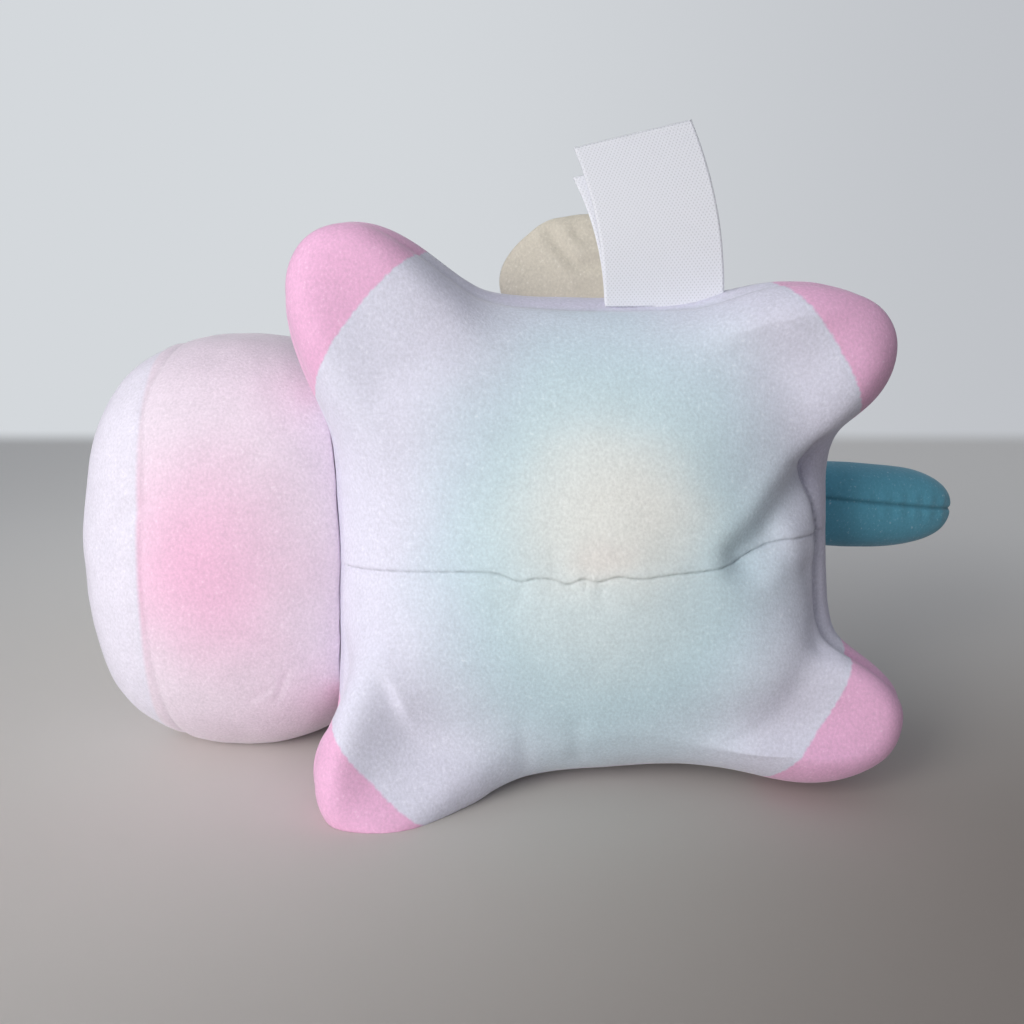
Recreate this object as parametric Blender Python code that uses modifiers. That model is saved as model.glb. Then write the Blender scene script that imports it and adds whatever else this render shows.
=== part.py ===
"""Plush unicorn cat, about 16 cm from face to tail, lying on its right side with its belly towards -Y.

Every piece is modelled as the toy stands: +X to the nose, +Y to its left side, +Z to its back,
with the origin in the middle of the body at the height of the side seam.
The empty plush_pose lays the toy down, and the table cutter flattens what its weight presses flat.
"""

import math

import bmesh
import bpy
from mathutils import Matrix, Vector

# Sizes in metres, angles in degrees.
SEAM_GAP = 0.0003
LEAN_BACK = 6.0
REST_HEIGHT = 0.0412
CUTTER_REACH = 0.3000

BODY_LENGTH = 0.0812
BODY_WIDTH = 0.0795
BODY_SAG = 0.0016
BELLY_DEPTH = 0.0200
BACK_HEIGHT = 0.0280
BODY_PLAN_POWER = 3.4
BODY_SIDE_POWER = 2.3

FOOT_WIDTH = 0.0205
FOOT_DROP = 0.0092
PRESSED_FRONT_DROP = 0.0128
FRONT_FOOT_FORWARD = 0.0374
FRONT_FOOT_SIDE = 0.0386
REAR_FOOT_BACK = 0.0374
REAR_FOOT_SIDE = 0.0318
PRESSED_FRONT_FORWARD = 0.0347
PRESSED_FRONT_SIDE = 0.0386
PRESSED_REAR_BACK = 0.0402
PRESSED_REAR_SIDE = 0.0315
LEG_RINGS = (
    # share of the way from the body to the foot's middle, ring size against the foot
    (0.35, 1.50),
    (0.95, 1.28),
    (1.50, 0.80),
)

HEAD_LENGTH = 0.0570
HEAD_WIDTH = 0.0745
HEAD_HEIGHT = 0.0600
HEAD_FORWARD = 0.0595
HEAD_RISE = 0.0220
HEAD_SAG = 0.0042
HEAD_PLAN_POWER = 2.6
HEAD_SIDE_POWER = 2.4

EAR_WIDTH = 0.0260
EAR_LENGTH = 0.0240
EAR_THICKNESS = 0.0100
EAR_TIP = 0.50
EAR_PLAN_POWER = 2.0
EAR_SIDE_POWER = 4.0
EAR_SIDE = 0.0210
EAR_SPLAY = 20.0
EAR_FOOT = 0.30
EAR_SINK = 0.0080

HORN_WIDTH = 0.0130
HORN_LENGTH = 0.0340
HORN_TIP_WIDTH = 0.0032
HORN_TAPER = 1.15
HORN_TILT = 24.0
HORN_SINK = 0.0060
HORN_SIDES = 24
HORN_RINGS = 12
HORN_LOBES = 3
HORN_TURN = 300.0
HORN_GROOVE = 0.14

WING_SPAN = 0.0304
WING_CHORD = 0.0396
WING_THICKNESS = 0.0080
WING_SIDE = 0.0240
WING_RISE = 0.0190
WING_FORWARD = -0.0046
WING_FEATHERS = 3
WING_TURN = -12.0
FEATHER_NOTCH = 0.14
FEATHER_ROUND = 3.0
WING_STEPS = 28
WING_RINGS = 8
LEFT_WING_LIFT = 0.0
RIGHT_WING_LIFT = 76.0

TAIL_LENGTH = 0.0446
TAIL_WIDTH = 0.0155
TAIL_DEPTH = 0.0170
TAIL_PLAN_POWER = 3.4
TAIL_SIDE_POWER = 2.4
TAIL_RISE = 0.0190
TAIL_SIDE = 0.0030
TAIL_SINK = 0.0140
TAIL_CURL = 12.0
TAIL_DROOP = 3.0

LABEL_WIDTH = 0.0190
LABEL_LENGTH = 0.0292
LABEL_PLY_LENGTH = 0.0240
LABEL_THICKNESS = 0.0004
LABEL_PLY_GAP = 0.0009
LABEL_BACK = 0.0126
LABEL_BOW = 0.0040
LABEL_SWAY = 0.0050
LABEL_PLY_SWAY = 0.0060
LABEL_TURN = 14.0
LABEL_TWIST = 14.0
LABEL_SINK = 0.0030
LABEL_STEPS = 12
LABEL_COLUMNS = 4

STITCH_RISE = 0.0008
EYE_SIDE = 0.0185
EYE_RISE = 0.0040
EYE_RADIUS = 0.0055
EYE_LINE = 0.0013
EYE_SWEEP = 150.0
NOSE_WIDTH = 0.0056
NOSE_HEIGHT = 0.0038
NOSE_RISE = 0.0030
MOUTH_RADIUS = 0.0036
MOUTH_LINE = 0.0010
MOUTH_SWEEP = 120.0
MOUTH_RISE = 0.0018
STITCH_REACH = 0.0160
ARC_STEPS = 10
NOSE_STEPS = 20

COLOURS = {
    # sRGB colour, roughness
    "belly_plush": ((222, 222, 234), 0.95),
    "head_plush": ((232, 208, 226), 0.95),
    "ear_plush": ((234, 170, 208), 0.95),
    "horn_cloth": ((236, 222, 178), 0.70),
    "wing_plush": ((226, 221, 206), 0.95),
    "tail_plush": ((62, 142, 162), 0.95),
    "label_ribbon": ((238, 238, 244), 0.60),
    "face_thread": ((74, 58, 78), 0.60),
}


def empty_scene():
    for obj in list(bpy.data.objects):
        bpy.data.objects.remove(obj)


def collection(name):
    group = bpy.data.collections.new(name)
    bpy.context.scene.collection.children.link(group)
    return group


def linear(value):
    """One sRGB channel from 0 to 255 as a linear value."""
    share = value / 255.0
    if share <= 0.04045:
        return share / 12.92
    return ((share + 0.055) / 1.055) ** 2.4


def material(name):
    colour, roughness = COLOURS[name]
    finish = bpy.data.materials.get(name) or bpy.data.materials.new(name)
    finish.use_nodes = True
    shader = finish.node_tree.nodes["Principled BSDF"]
    shader.inputs["Base Color"].default_value = (*(linear(c) for c in colour), 1.0)
    shader.inputs["Roughness"].default_value = roughness
    shader.inputs["Metallic"].default_value = 0.0
    return finish


def new_piece(name, bm, finish):
    """A piece of the toy, made from a bmesh and hung on the pose."""
    mesh = bpy.data.meshes.new(name)
    bmesh.ops.recalc_face_normals(bm, faces=bm.faces[:])
    bm.to_mesh(mesh)
    bm.free()
    mesh.materials.append(material(finish))
    mesh.shade_smooth()
    obj = bpy.data.objects.new(name, mesh)
    TOY.objects.link(obj)
    obj.parent = POSE
    return obj


def soften(obj, levels=2):
    smooth = obj.modifiers.new("soft_form", "SUBSURF")
    smooth.levels = levels
    smooth.render_levels = levels


def soft_box(obj):
    """The lowest and highest corners of the smooth form in its own frame."""
    graph = bpy.context.evaluated_depsgraph_get()
    graph.update()
    shape = obj.evaluated_get(graph).to_mesh()
    low = Vector(min(v.co[axis] for v in shape.vertices) for axis in range(3))
    high = Vector(max(v.co[axis] for v in shape.vertices) for axis in range(3))
    return low, high


def fit_to(obj, low, high):
    """Stretch the cage so that the smooth form fills the box between two corners."""
    old_low, old_high = soft_box(obj)
    for vertex in obj.data.vertices:
        for axis in range(3):
            share = (vertex.co[axis] - old_low[axis]) / (old_high[axis] - old_low[axis])
            vertex.co[axis] = low[axis] + share * (high[axis] - low[axis])
    obj.data.update()


def grid_cage(cuts):
    """A cube from -1 to 1 on each axis, cut into a grid on every side."""
    bm = bmesh.new()
    bmesh.ops.create_cube(bm, size=2.0)
    bmesh.ops.subdivide_edges(bm, edges=bm.edges[:], cuts=cuts, use_grid_fill=True)
    return bm


def round_off(bm, plan_power, side_power):
    """Pull the cube's points onto a rounded pillow: a high power is boxier."""
    for vertex in bm.verts:
        plan = (abs(vertex.co.x) ** plan_power + abs(vertex.co.y) ** plan_power) ** (1.0 / plan_power)
        reach = (plan ** side_power + abs(vertex.co.z) ** side_power) ** (1.0 / side_power)
        vertex.co /= reach


def cutter(name, source, swell):
    """A wire copy of a soft piece, swollen by the seam gap, that seats its neighbours."""
    obj = source.copy()
    obj.data = source.data.copy()
    obj.name = name
    CUTTERS.objects.link(obj)
    obj.hide_render = True
    obj.display_type = "WIRE"
    puff = obj.modifiers.new("swell", "DISPLACE")
    puff.mid_level = 0.0
    puff.strength = swell
    return obj


def combine(obj, other, operation):
    cut = obj.modifiers.new(other.name, "BOOLEAN")
    cut.operation = operation
    cut.solver = "EXACT"
    cut.object = other


def make_pose():
    """The toy on its right side: nose to -X, belly to -Y and tipped up by the lean."""
    pose = bpy.data.objects.new("plush_pose", None)
    TOY.objects.link(pose)
    lay_down = Matrix(((-1, 0, 0), (0, 0, 1), (0, 1, 0))).to_4x4()
    lean = Matrix.Rotation(math.radians(-LEAN_BACK), 4, "X")
    pose.matrix_world = Matrix.Translation((0.0, 0.0, REST_HEIGHT)) @ lean @ lay_down
    return pose


def make_table():
    """Everything below z = 0, as a cutter for the flats that the toy lies on."""
    bm = bmesh.new()
    bmesh.ops.create_cube(bm, size=CUTTER_REACH)
    bmesh.ops.translate(bm, verts=bm.verts, vec=(0.0, 0.0, -CUTTER_REACH / 2))
    mesh = bpy.data.meshes.new("table_plane")
    bm.to_mesh(mesh)
    bm.free()
    table = bpy.data.objects.new("table_plane", mesh)
    table.hide_render = True
    table.display_type = "WIRE"
    CUTTERS.objects.link(table)
    return table


def push_out(bm, faces):
    """Extrude a patch of faces, drop the faces that it leaves behind, and give the new ones."""
    ring = bmesh.ops.extrude_face_region(bm, geom=faces)["geom"]
    bmesh.ops.delete(bm, geom=faces, context="FACES")
    new_faces = [item for item in ring if isinstance(item, bmesh.types.BMFace)]
    points = list({vertex for face in new_faces for vertex in face.verts})
    return new_faces, points


def pull_leg(bm, corner, foot):
    """Draw the three faces round a corner of the body out into a leg with a round foot."""
    faces = list(corner.link_faces)
    points = {vertex for face in faces for vertex in face.verts}
    root = sum((vertex.co for vertex in points), Vector()) / len(points)
    for share, size in LEG_RINGS:
        faces, moved = push_out(bm, faces)
        middle = sum((vertex.co for vertex in moved), Vector()) / len(moved)
        spread = sum((vertex.co - middle).length for vertex in moved) / len(moved)
        target = root + (foot - root) * share
        for vertex in moved:
            vertex.co = target + (vertex.co - middle) * (size * FOOT_WIDTH / 2 / spread)


def make_body():
    """The stuffed body and its four legs, which are sewn and filled as one bag."""
    bm = grid_cage(cuts=2)
    round_off(bm, BODY_PLAN_POWER, BODY_SIDE_POWER)
    body = new_piece("body", bm, "belly_plush")
    soften(body)
    fit_to(body, (-BODY_LENGTH / 2, -BODY_WIDTH / 2 - BODY_SAG, -BELLY_DEPTH),
           (BODY_LENGTH / 2, BODY_WIDTH / 2 - BODY_SAG, BACK_HEIGHT))
    feet = (
        Vector((FRONT_FOOT_FORWARD, FRONT_FOOT_SIDE, -FOOT_DROP)),
        Vector((PRESSED_FRONT_FORWARD, -PRESSED_FRONT_SIDE, -PRESSED_FRONT_DROP)),
        Vector((-REAR_FOOT_BACK, REAR_FOOT_SIDE, -FOOT_DROP)),
        Vector((-PRESSED_REAR_BACK, -PRESSED_REAR_SIDE, -FOOT_DROP)),
    )
    bm = bmesh.new()
    bm.from_mesh(body.data)
    for foot in feet:
        outward = Vector((math.copysign(BODY_LENGTH, foot.x), math.copysign(BODY_WIDTH, foot.y), -BELLY_DEPTH * 2))
        corner = max(bm.verts, key=lambda vertex: vertex.co.dot(outward))
        pull_leg(bm, corner, foot)
    bm.to_mesh(body.data)
    bm.free()
    return body


def make_head():
    """The head, a boxy pillow with its face to the front and the neck seam behind the chin."""
    bm = grid_cage(cuts=2)
    round_off(bm, HEAD_PLAN_POWER, HEAD_SIDE_POWER)
    head = new_piece("head", bm, "head_plush")
    soften(head)
    half = Vector((HEAD_LENGTH, HEAD_WIDTH, HEAD_HEIGHT)) / 2
    fit_to(head, head_middle() - half, head_middle() + half)
    return head


def head_middle():
    return Vector((HEAD_FORWARD, -HEAD_SAG, HEAD_RISE))


def make_ear(name, side, head_cutter):
    """A plain padded ear, sewn on the crown and leaning outwards."""
    bm = grid_cage(cuts=1)
    round_off(bm, EAR_PLAN_POWER, EAR_SIDE_POWER)
    for vertex in bm.verts:
        taper = 1.0 + (EAR_TIP - 1.0) * (vertex.co.z + 1.0) / 2
        vertex.co.y *= taper
        vertex.co.x *= taper
    ear = new_piece(name, bm, "ear_plush")
    soften(ear)
    fit_to(ear, (-EAR_THICKNESS / 2, -EAR_WIDTH / 2, -EAR_SINK), (EAR_THICKNESS / 2, EAR_WIDTH / 2, EAR_LENGTH))
    place = Matrix.Translation(head_middle()) @ Matrix.Rotation(math.radians(-side * EAR_SPLAY), 4, "X")
    seat = head_surface_height(EAR_SIDE)
    ear.matrix_local = place @ Matrix.Translation((0.0, side * EAR_SIDE * EAR_FOOT, seat))
    combine(ear, head_cutter, "DIFFERENCE")
    return ear


def head_surface_height(side):
    """How high the crown stands over the head's middle, a distance to the side."""
    share = (abs(side) / (HEAD_WIDTH / 2)) ** HEAD_SIDE_POWER
    return HEAD_HEIGHT / 2 * (1.0 - share) ** (1.0 / HEAD_SIDE_POWER)


def make_horn(head_cutter):
    """A stuffed cloth horn whose wound thread pulls it into a spiral."""
    bm = bmesh.new()
    bmesh.ops.create_circle(bm, cap_ends=True, segments=HORN_SIDES, radius=1.0)
    height = HORN_LENGTH + HORN_SINK
    base = bmesh.ops.duplicate(bm, geom=bm.faces[:])["geom"]
    faces = [item for item in base if isinstance(item, bmesh.types.BMFace)]
    for _ in range(HORN_RINGS):
        faces, moved = push_out(bm, faces)
        bmesh.ops.translate(bm, verts=moved, vec=(0.0, 0.0, 1.0 / HORN_RINGS))
    for vertex in bm.verts:
        share = vertex.co.z
        angle = math.atan2(vertex.co.y, vertex.co.x)
        wind = HORN_LOBES * (angle - math.radians(HORN_TURN) * share)
        groove = 1.0 - HORN_GROOVE * (0.5 - 0.5 * math.cos(wind))
        width = HORN_WIDTH + (HORN_TIP_WIDTH - HORN_WIDTH) * share ** HORN_TAPER
        reach = width / 2 * groove
        vertex.co = Vector((reach * math.cos(angle), reach * math.sin(angle), share * height - HORN_SINK))
    horn = new_piece("horn", bm, "horn_cloth")
    place = Matrix.Translation(head_middle()) @ Matrix.Rotation(math.radians(HORN_TILT), 4, "Y")
    horn.matrix_local = place @ Matrix.Translation((0.0, 0.0, HEAD_HEIGHT / 2))
    combine(horn, head_cutter, "DIFFERENCE")
    return horn


def make_wing(name, side, lift, body_cutter):
    """A small stuffed wing with a scalloped edge, one lobe for each feather."""
    bm = bmesh.new()
    bmesh.ops.create_uvsphere(bm, u_segments=WING_STEPS, v_segments=WING_RINGS, radius=1.0)
    for vertex in bm.verts:
        angle = math.atan2(vertex.co.y, vertex.co.x) - math.radians(WING_TURN)
        feather = WING_FEATHERS * angle / math.tau % 1.0
        scallop = 1.0 - FEATHER_NOTCH * abs(2.0 * feather - 1.0) ** FEATHER_ROUND
        vertex.co.x *= scallop * WING_CHORD / 2
        vertex.co.y = (1.0 + vertex.co.y * scallop) * WING_SPAN / 2
        vertex.co.z *= WING_THICKNESS / 2
    wing = new_piece(name, bm, "wing_plush")
    place = Matrix.Translation((WING_FORWARD, side * WING_SIDE, WING_RISE))
    flip = Matrix.Diagonal((1.0, side, 1.0, 1.0))
    turn = Matrix.Rotation(math.radians(side * lift), 4, "X")
    wing.data.transform(flip)
    if side < 0:
        wing.data.flip_normals()
    wing.matrix_local = place @ turn
    combine(wing, body_cutter, "DIFFERENCE")
    return wing


def make_tail(body_cutter):
    """The stuffed tail, a round-ended roll sewn to the rump and curling up a little."""
    bm = grid_cage(cuts=1)
    round_off(bm, TAIL_PLAN_POWER, TAIL_SIDE_POWER)
    tail = new_piece("tail", bm, "tail_plush")
    soften(tail)
    half_width = TAIL_WIDTH / 2
    half_depth = TAIL_DEPTH / 2
    fit_to(tail, (-TAIL_LENGTH, -half_width, -half_depth), (0.0, half_width, half_depth))
    root = Vector((-BODY_LENGTH / 2 + TAIL_SINK, TAIL_SIDE, TAIL_RISE))
    droop = Matrix.Rotation(math.radians(TAIL_DROOP), 4, "Z")
    tail.matrix_local = Matrix.Translation(root) @ droop @ Matrix.Rotation(math.radians(TAIL_CURL), 4, "Y")
    combine(tail, body_cutter, "DIFFERENCE")
    return tail


def make_label(name, length, sway, behind, body_cutter):
    """One ply of the care label: a plain woven ribbon caught in the side seam, left blank."""
    bm = bmesh.new()
    bmesh.ops.create_grid(bm, x_segments=LABEL_COLUMNS, y_segments=LABEL_STEPS, size=0.5)
    for vertex in bm.verts:
        height = (vertex.co.y + 0.5) * length
        share = height / LABEL_LENGTH
        across = vertex.co.x * LABEL_WIDTH
        twist = math.radians(LABEL_TWIST) * share
        vertex.co.x = across * math.cos(twist) + sway * share ** 2
        vertex.co.y = height - across * math.sin(math.radians(LABEL_TURN) * share)
        vertex.co.z = behind - LABEL_BOW * math.sin(math.pi * share) + across * math.sin(twist)
    label = new_piece(name, bm, "label_ribbon")
    cloth = label.modifiers.new("ribbon", "SOLIDIFY")
    cloth.thickness = LABEL_THICKNESS
    cloth.offset = 0.0
    seam = BODY_WIDTH / 2 - BODY_SAG - LABEL_SINK
    label.matrix_local = Matrix.Translation((-LABEL_BACK, seam, 0.0))
    combine(label, body_cutter, "DIFFERENCE")
    return label


def arc_band(radius, line, sweep, reach):
    """A flat band bent to an arc that is open at the top, standing out along +X."""
    bm = bmesh.new()
    inner = []
    outer = []
    for step in range(ARC_STEPS + 1):
        angle = math.radians(-90.0 - sweep / 2 + sweep * step / ARC_STEPS)
        ray = Vector((0.0, math.cos(angle), math.sin(angle)))
        inner.append(bm.verts.new(ray * (radius - line / 2)))
        outer.append(bm.verts.new(ray * (radius + line / 2)))
    band = bm.faces.new(outer + inner[::-1])
    top = bmesh.ops.extrude_face_region(bm, geom=[band])["geom"]
    raised = [item for item in top if isinstance(item, bmesh.types.BMVert)]
    bmesh.ops.translate(bm, verts=raised, vec=(reach, 0.0, 0.0))
    return bm


def make_stitches(name, bm, side, rise, face_skin, head_cutter):
    """A patch of satin stitch that lies on the face and follows it."""
    stitches = new_piece(name, bm, "face_thread")
    start = HEAD_LENGTH / 2 - STITCH_REACH
    stitches.matrix_local = Matrix.Translation(head_middle() + Vector((start, side, rise)))
    combine(stitches, face_skin, "INTERSECT")
    combine(stitches, head_cutter, "DIFFERENCE")
    return stitches


def make_face(head, head_cutter):
    """Two closed eyes, a nose and a mouth, all embroidered."""
    face_skin = cutter("stitch_height", head, SEAM_GAP + STITCH_RISE)
    reach = STITCH_REACH + STITCH_REACH / 2
    for name, side in (("eye_left", 1), ("eye_right", -1)):
        eye = arc_band(EYE_RADIUS, EYE_LINE, EYE_SWEEP, reach)
        make_stitches(name, eye, side * EYE_SIDE, EYE_RISE + EYE_RADIUS / 2, face_skin, head_cutter)
    nose = bmesh.new()
    bmesh.ops.create_cone(nose, cap_ends=True, segments=NOSE_STEPS, radius1=0.5, radius2=0.5, depth=1.0)
    bmesh.ops.rotate(nose, verts=nose.verts, matrix=Matrix.Rotation(math.radians(90.0), 3, "Y"))
    bmesh.ops.scale(nose, verts=nose.verts, vec=(reach, NOSE_WIDTH, NOSE_HEIGHT))
    bmesh.ops.translate(nose, verts=nose.verts, vec=(reach / 2, 0.0, 0.0))
    make_stitches("nose", nose, 0.0, NOSE_RISE, face_skin, head_cutter)
    mouth = arc_band(MOUTH_RADIUS, MOUTH_LINE, MOUTH_SWEEP, reach)
    make_stitches("mouth", mouth, 0.0, MOUTH_RISE, face_skin, head_cutter)


empty_scene()
TOY = collection("plush_unicorn_cat")
CUTTERS = collection("cutters")
POSE = make_pose()
TABLE = make_table()

body = make_body()
body_seat = cutter("body_seat", body, SEAM_GAP)
head = make_head()
head_seat = cutter("head_seat", head, SEAM_GAP)
combine(head, body_seat, "DIFFERENCE")
make_ear("ear_left", 1, head_seat)
make_ear("ear_right", -1, head_seat)
make_horn(head_seat)
make_wing("wing_left", 1, LEFT_WING_LIFT, body_seat)
make_wing("wing_right", -1, RIGHT_WING_LIFT, body_seat)
make_tail(body_seat)
make_label("care_label", LABEL_LENGTH, LABEL_SWAY, 0.0, body_seat)
make_label("care_label_ply", LABEL_PLY_LENGTH, LABEL_PLY_SWAY, LABEL_THICKNESS + LABEL_PLY_GAP, body_seat)
make_face(head, head_seat)
combine(body, TABLE, "DIFFERENCE")
combine(head, TABLE, "DIFFERENCE")
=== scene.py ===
import math

import bmesh
import bpy
import numpy as np
from mathutils import Matrix, Vector, noise
from mathutils.bvhtree import BVHTree


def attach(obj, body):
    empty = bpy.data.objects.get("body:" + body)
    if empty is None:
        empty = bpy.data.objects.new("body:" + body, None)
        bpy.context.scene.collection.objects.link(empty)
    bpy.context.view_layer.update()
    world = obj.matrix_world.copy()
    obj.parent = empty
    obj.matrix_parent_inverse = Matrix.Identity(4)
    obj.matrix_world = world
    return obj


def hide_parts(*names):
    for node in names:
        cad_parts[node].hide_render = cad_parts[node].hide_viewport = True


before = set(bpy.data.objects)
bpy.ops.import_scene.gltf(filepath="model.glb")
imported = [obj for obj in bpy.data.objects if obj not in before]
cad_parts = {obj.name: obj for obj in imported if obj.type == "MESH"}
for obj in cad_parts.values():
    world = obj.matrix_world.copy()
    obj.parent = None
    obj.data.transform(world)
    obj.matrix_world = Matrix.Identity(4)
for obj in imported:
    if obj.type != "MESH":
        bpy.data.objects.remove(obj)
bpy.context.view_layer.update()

mm = 0.001

# Camera
# The toy is seen from about 21 cm, a little from above, with the belly square to the lens.
# The focal length is kept in pixels of a frame that is 1024 pixels wide.
frame_width = 1024
focal_length = 1280
film_width = 36.0
camera_place = Vector((-11.8, -206.8, 92.2)) * mm
look_down = 13.0
nearest_seen = 10 * mm

lens = bpy.data.cameras.new("camera")
lens.sensor_width = film_width
lens.lens = film_width * focal_length / frame_width
lens.clip_start = nearest_seen
camera = bpy.data.objects.new("camera", lens)
camera.location = camera_place
camera.rotation_euler = (math.radians(90.0 - look_down), 0.0, 0.0)
bpy.context.scene.collection.objects.link(camera)
bpy.context.scene.camera = camera


# Body
# A bag of short-pile plush, a belly panel and a back panel sewn together round the side seam,
# turned, filled with loose fibre and closed by hand along the belly. The pastel fields and the
# pink feet are printed on the cloth. It is modelled standing, nose to +X, left side to +Y.
body_length = 81.2 * mm
body_width = 79.5 * mm
body_sag = 1.6 * mm
belly_depth = 20.0 * mm
back_height = 28.0 * mm
body_plan = 3.4
body_side = 2.3
foot_width = 20.5 * mm
# each foot's middle: front left, front right, rear left, rear right
feet = (
    Vector((37.4, 38.6, -9.2)) * mm,
    Vector((34.7, -38.6, -12.8)) * mm,
    Vector((-37.4, 31.8, -9.2)) * mm,
    Vector((-40.2, -31.5, -9.2)) * mm,
)
# share of the way from the body to the foot, size of the ring against the foot
leg_rings = ((0.35, 1.50), (0.95, 1.28), (1.50, 0.80))

lean_back = 6.0
rest_height = 41.2 * mm
lying = (
    Matrix.Translation((0.0, 0.0, rest_height))
    @ Matrix.Rotation(math.radians(-lean_back), 4, "X")
    @ Matrix(((-1, 0, 0), (0, 0, 1), (0, 1, 0))).to_4x4()
)

# Sewn lines and folds on the belly, as (x, y) in mm
belly_seam = [
    (42.0, -5.0), (30.0, -4.3), (16.7, -3.7), (13.6, -4.0), (10.6, -5.4), (8.0, -4.5), (5.0, -4.9),
    (3.2, -5.8), (1.1, -4.5), (-1.5, -5.4), (-4.1, -4.2), (-7.6, -4.9), (-12.4, -4.2), (-16.8, -3.9),
    (-22.7, -3.0), (-25.0, -1.6), (-29.8, 0.4), (-34.6, 0.6), (-42.0, 1.0),
]
hand_closed = (-9.0, 13.0)
rump_fold = [(-24.5, -1.8), (-28.1, 1.5), (-31.4, 6.0), (-34.4, 9.7), (-37.5, 11.0)]
rump_flap = (-31.5, 2.2)
leg_fold = [(-36.3, -5.0), (-37.6, -11.0), (-36.6, -16.0)]
hem_tucks = ([(10.1, -28.5), (9.6, -36.0)], [(1.6, -29.0), (1.2, -36.0)])
hand_tucks = ([(5.2, -3.2), (5.6, 1.2)], [(10.4, -6.4), (11.6, -9.5)], [(-1.6, -6.4), (-2.2, -9.0)])
# where the filling swells or gives way, on the belly side: place, height and width in mm
swellings = (
    (27.5, 22.5, 3.0, 13.0), (26.0, -20.0, 2.8, 12.0), (-24.0, 21.0, 1.8, 13.0), (-27.0, -20.0, 3.2, 10.0),
    (-48.0, 37.0, -0.8, 12.0), (-39.0, -27.0, -2.2, 9.0), (-46.0, -33.0, -0.8, 12.0),
    (33.5, -24.0, 2.6, 8.0),
)
# the same on the flanks of the legs and the rump, each as x, y, z, height and width in mm
flank_swellings = (
    (-49.0, 34.0, -8.0, 1.9, 9.0), (-40.0, -42.0, -6.0, 1.9, 10.0), (17.0, -39.0, -10.0, 1.8, 8.0),
    (-39.0, 11.0, -8.0, -2.6, 8.0), (-22.0, -30.0, -17.0, -0.8, 6.0), (-32.0, -32.0, -16.0, -1.1, 6.0),
    (42.0, -26.0, -8.0, -3.4, 7.5),
)
hem_middle = -15.0
hem_lift = 1.5
hem_half_length = 20.0
# lumps of the filling: height, size and seed
body_lumps = ((0.22, 11.0, 3.0), (0.07, 4.5, 8.0))
# seams and creases, each as its height or depth and its width in mm, and how far a lip lies from its line
seam_valley = (0.15, 2.4)
seam_thread = (0.30, 0.19)
seam_lip = (0.13, 1.0)
seam_lip_away = 0.8
seam_pucker = (0.05, 1.8)
seam_pucker_away = 1.2
rump_valley = (1.9, 3.8)
rump_lip = (0.4, 2.5)
rump_lip_away = 5.0
rump_flap_swell = (0.8, 2.4)
leg_crease = (0.8, 2.6)
hem_tuck = (0.22, 1.6)
hand_tuck = (0.12, 1.1)
side_groove = (0.15, 0.5)
side_valley = (0.6, 2.2)
# the side seam's height in mm, and how much lower it runs at the feet, the rump and the pressed foot
side_seam_middle = -4.8
side_drop_feet = 6.0
side_drop_rump = 2.0
side_drop_pressed = 7.0
# the side seam is drawn in deeper at the rump: extra depth, the rump's place and the reach along x in mm
rump_pull = 0.7
rump_end = -41.0
rump_reach = 6.0
# how dark the thread, the side seam and the rump's seam lie in shade
thread_shade = 0.42
side_shade = (0.2, 0.8)
rump_shade = (0.45, 2.0)
# how far in mm round the lines and the side seam the surface is made finer, once and again
line_reach = 7.0
seam_reach = 1.9
side_reaches = (2.6, 1.3)

print_lilac = (235, 234, 250)
# each field of the print: middle and half size in mm, where it starts to fade and ends, colour
belly_fields = (
    ((-3.0, -1.0), (32.0, 45.0), 0.50, 1.15, (208, 232, 241)),
    ((-2.0, 2.0), (22.0, 27.0), 0.30, 1.15, (231, 244, 246)),
    ((-3.5, 5.0), (18.0, 14.5), 0.15, 1.10, (248, 249, 244)),
    ((-2.2, -1.0), (6.0, 4.5), 0.10, 1.10, (247, 244, 239)),
)
back_lilac = (224, 222, 241)
pink_foot = (250, 195, 230)
# the pink starts where it meets an oval: its middle, and one over its half sizes
pink_middle = Vector((0.9, 0.7, 0.0)) * mm
pink_stretch = (1.0 / (46.4 * mm), 1.0 / (52.2 * mm), 0.0)
# the back's print starts between these heights
back_from = (-6.0 * mm, -3.5 * mm)
# over what size and by how much the edges of the fields and of the pink wander
field_wander = (17 * mm, 3.5 * mm)
pink_wander = (0.9 * mm, 0.35 * mm)

# The pile: how many tufts and brushed patches to a metre, how the nap stretches them, their depth, how
# much a tuft darkens and lightens, how much the painted shade in a fold darkens it, and the painted glint on
# the tips
tuft_count = 2300.0
brushed_count = 240.0
brushed_share = 0.3
nap_stretch = (1.0, 0.8, 0.9)
pile_depth = 0.15 * mm
pile_dark = 0.85
pile_light = 1.03
fold_painted_shade = 0.55
tip_painted_glint = 0.28


def pillow_cage(plan, side, cuts):
    """A cube whose points are pulled onto a rounded pillow: a high power is boxier."""
    cage = bmesh.new()
    bmesh.ops.create_cube(cage, size=2.0)
    bmesh.ops.subdivide_edges(cage, edges=cage.edges[:], cuts=cuts, use_grid_fill=True)
    for point in cage.verts:
        x, y, z = (abs(c) for c in point.co)
        across = (x ** plan + y ** plan) ** (1.0 / plan)
        point.co /= (across ** side + z ** side) ** (1.0 / side)
    return cage


def subdivided(cage, rounds):
    """The soft surface that a cage gives after so many rounds of subdivision."""
    holder = bpy.data.objects.new("cage", bpy.data.meshes.new("cage"))
    cage.to_mesh(holder.data)
    bpy.context.scene.collection.objects.link(holder)
    soft = holder.modifiers.new("soft", "SUBSURF")
    soft.levels = rounds
    soft.render_levels = rounds
    surface = bmesh.new()
    surface.from_object(holder, bpy.context.evaluated_depsgraph_get())
    bpy.data.meshes.remove(holder.data)
    return surface


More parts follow.
